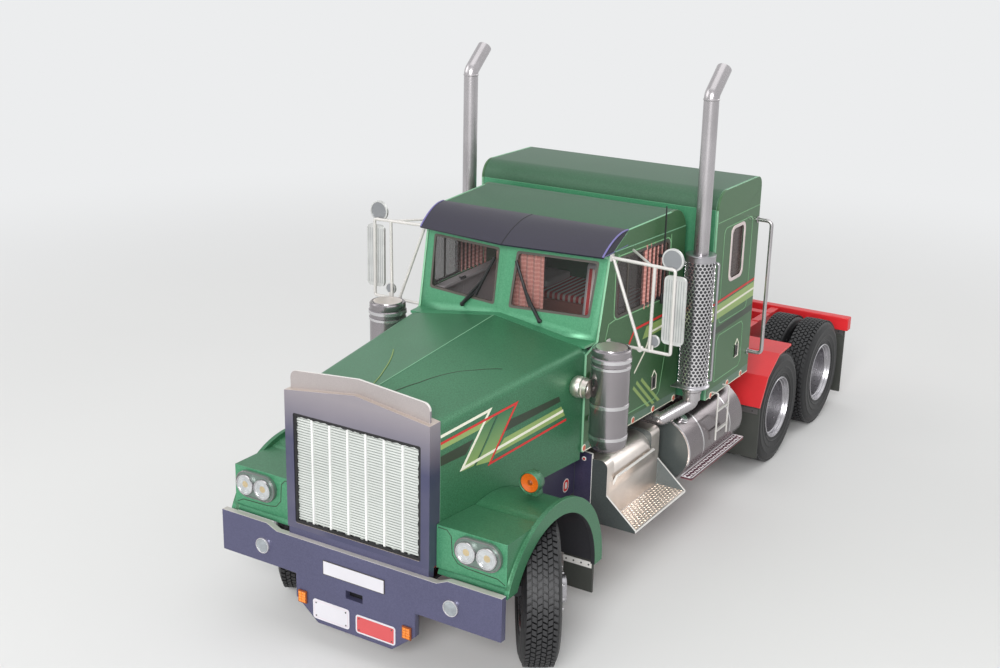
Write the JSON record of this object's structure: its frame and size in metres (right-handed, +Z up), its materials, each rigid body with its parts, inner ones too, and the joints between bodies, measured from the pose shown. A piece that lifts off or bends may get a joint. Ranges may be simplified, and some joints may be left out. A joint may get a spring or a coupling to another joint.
{
  "type": "card scale model of a semi truck tractor unit",
  "caption": "Printed-card scale model of a long-nosed semi truck tractor unit with a sleeper, rolling wheels and steered front wheels.",
  "frame": {"origin": "middle of the footprint, on the floor that the tyres stand on", "axes": "+X to the truck's left, +Y to its rear, +Z up; the nose points along -Y"},
  "size_m": [0.1166, 0.287, 0.1598],
  "materials": {
    "green_card": "printed card with a soft metallic sheen",
    "silver_card": "metallic foil card",
    "blue_grey_card": "metallic printed card",
    "red_card": "matte printed card",
    "dark_card": "matte card",
    "tyre_card": "black card rings",
    "lamp_card": "pale gloss card",
    "amber_card": "printed card",
    "clear_film": "clear film",
    "grey_card": "matte card",
    "striped_card": "printed card"
  },
  "bodies": {
    "chassis": {"hood_top": "green_card", "hood_sides": "green_card", "fender_left": "green_card", "fender_right": "green_card", "cab_front": "green_card", "cab_side_left": "green_card", "cab_side_right": "green_card", "cab_roof": "green_card", "cab_back": "green_card", "sleeper_front": "green_card", "sleeper_side_left": "green_card", "sleeper_side_right": "green_card", "sleeper_roof": "green_card", "sleeper_back": "green_card", "radiator_shell": "silver_card", "grille": "silver_card", "heat_shields": "silver_card", "exhaust_stacks": "silver_card", "air_cleaners": "silver_card", "fuel_tanks": "silver_card", "tank_steps": "silver_card", "grab_handles": "silver_card", "mirrors": "silver_card", "front_bumper": "blue_grey_card", "step_boxes": "blue_grey_card", "sun_visor": "blue_grey_card", "chassis_rails": "red_card", "crossmembers": "red_card", "front_axle": "red_card", "springs": "red_card", "drive_axles": "red_card", "rear_beam": "red_card", "quarter_fenders": "red_card", "propeller_shafts": "red_card", "mud_flaps": "dark_card", "sleeper_boot": "dark_card", "floors": "dark_card", "fifth_wheel": "dark_card", "engine_block": "dark_card", "headlamps": "lamp_card", "marker_lamps": "amber_card", "windscreen": "clear_film", "side_windows": "clear_film", "seats": "grey_card", "dashboard": "grey_card", "bunk": "striped_card"},
    "knuckle_left": {"knuckle_left": "red_card"},
    "knuckle_right": {"knuckle_right": "red_card"},
    "front_wheel_left": {"front_tyre_left": "tyre_card", "front_rim_left": "silver_card"},
    "front_wheel_right": {"front_tyre_right": "tyre_card", "front_rim_right": "silver_card"},
    "drive_wheel_front_left": {"drive_tyres_front_left": "tyre_card", "drive_rim_front_left": "silver_card"},
    "drive_wheel_front_right": {"drive_tyres_front_right": "tyre_card", "drive_rim_front_right": "silver_card"},
    "drive_wheel_rear_left": {"drive_tyres_rear_left": "tyre_card", "drive_rim_rear_left": "silver_card"},
    "drive_wheel_rear_right": {"drive_tyres_rear_right": "tyre_card", "drive_rim_rear_right": "silver_card"}
  },
  "joints": [
    {"name": "steer_left", "type": "hinge", "parent": "chassis", "child": "knuckle_left", "pos_m": [0.0412, -0.11355, 0.0218], "axis": [0, 0, 1], "range_deg": [-70, 2]},
    {"name": "front_wheel_spin_left", "type": "hinge", "parent": "knuckle_left", "child": "front_wheel_left", "pos_m": [0.04244, -0.11271, 0.0218], "axis": [0.829, 0.5592, 0], "continuous": true},
    {"name": "steer_right", "type": "hinge", "parent": "chassis", "child": "knuckle_right", "pos_m": [-0.0412, -0.11355, 0.0218], "axis": [0, 0, 1], "range_deg": [-70, 2]},
    {"name": "front_wheel_spin_right", "type": "hinge", "parent": "knuckle_right", "child": "front_wheel_right", "pos_m": [-0.04244, -0.11439, 0.0218], "axis": [0.829, 0.5592, 0], "continuous": true},
    {"name": "drive_wheel_spin_front_left", "type": "hinge", "parent": "chassis", "child": "drive_wheel_front_left", "pos_m": [0.03505, 0.06435, 0.0218], "axis": [1, 0, 0], "continuous": true},
    {"name": "drive_wheel_spin_front_right", "type": "hinge", "parent": "chassis", "child": "drive_wheel_front_right", "pos_m": [-0.03505, 0.06435, 0.0218], "axis": [1, 0, 0], "continuous": true},
    {"name": "drive_wheel_spin_rear_left", "type": "hinge", "parent": "chassis", "child": "drive_wheel_rear_left", "pos_m": [0.03505, 0.11335, 0.0218], "axis": [1, 0, 0], "continuous": true},
    {"name": "drive_wheel_spin_rear_right", "type": "hinge", "parent": "chassis", "child": "drive_wheel_rear_right", "pos_m": [-0.03505, 0.11335, 0.0218], "axis": [1, 0, 0], "continuous": true}
  ],
  "couplings": [
    {"joint": "steer_right", "follows": "steer_left", "ratio": 1}
  ]
}
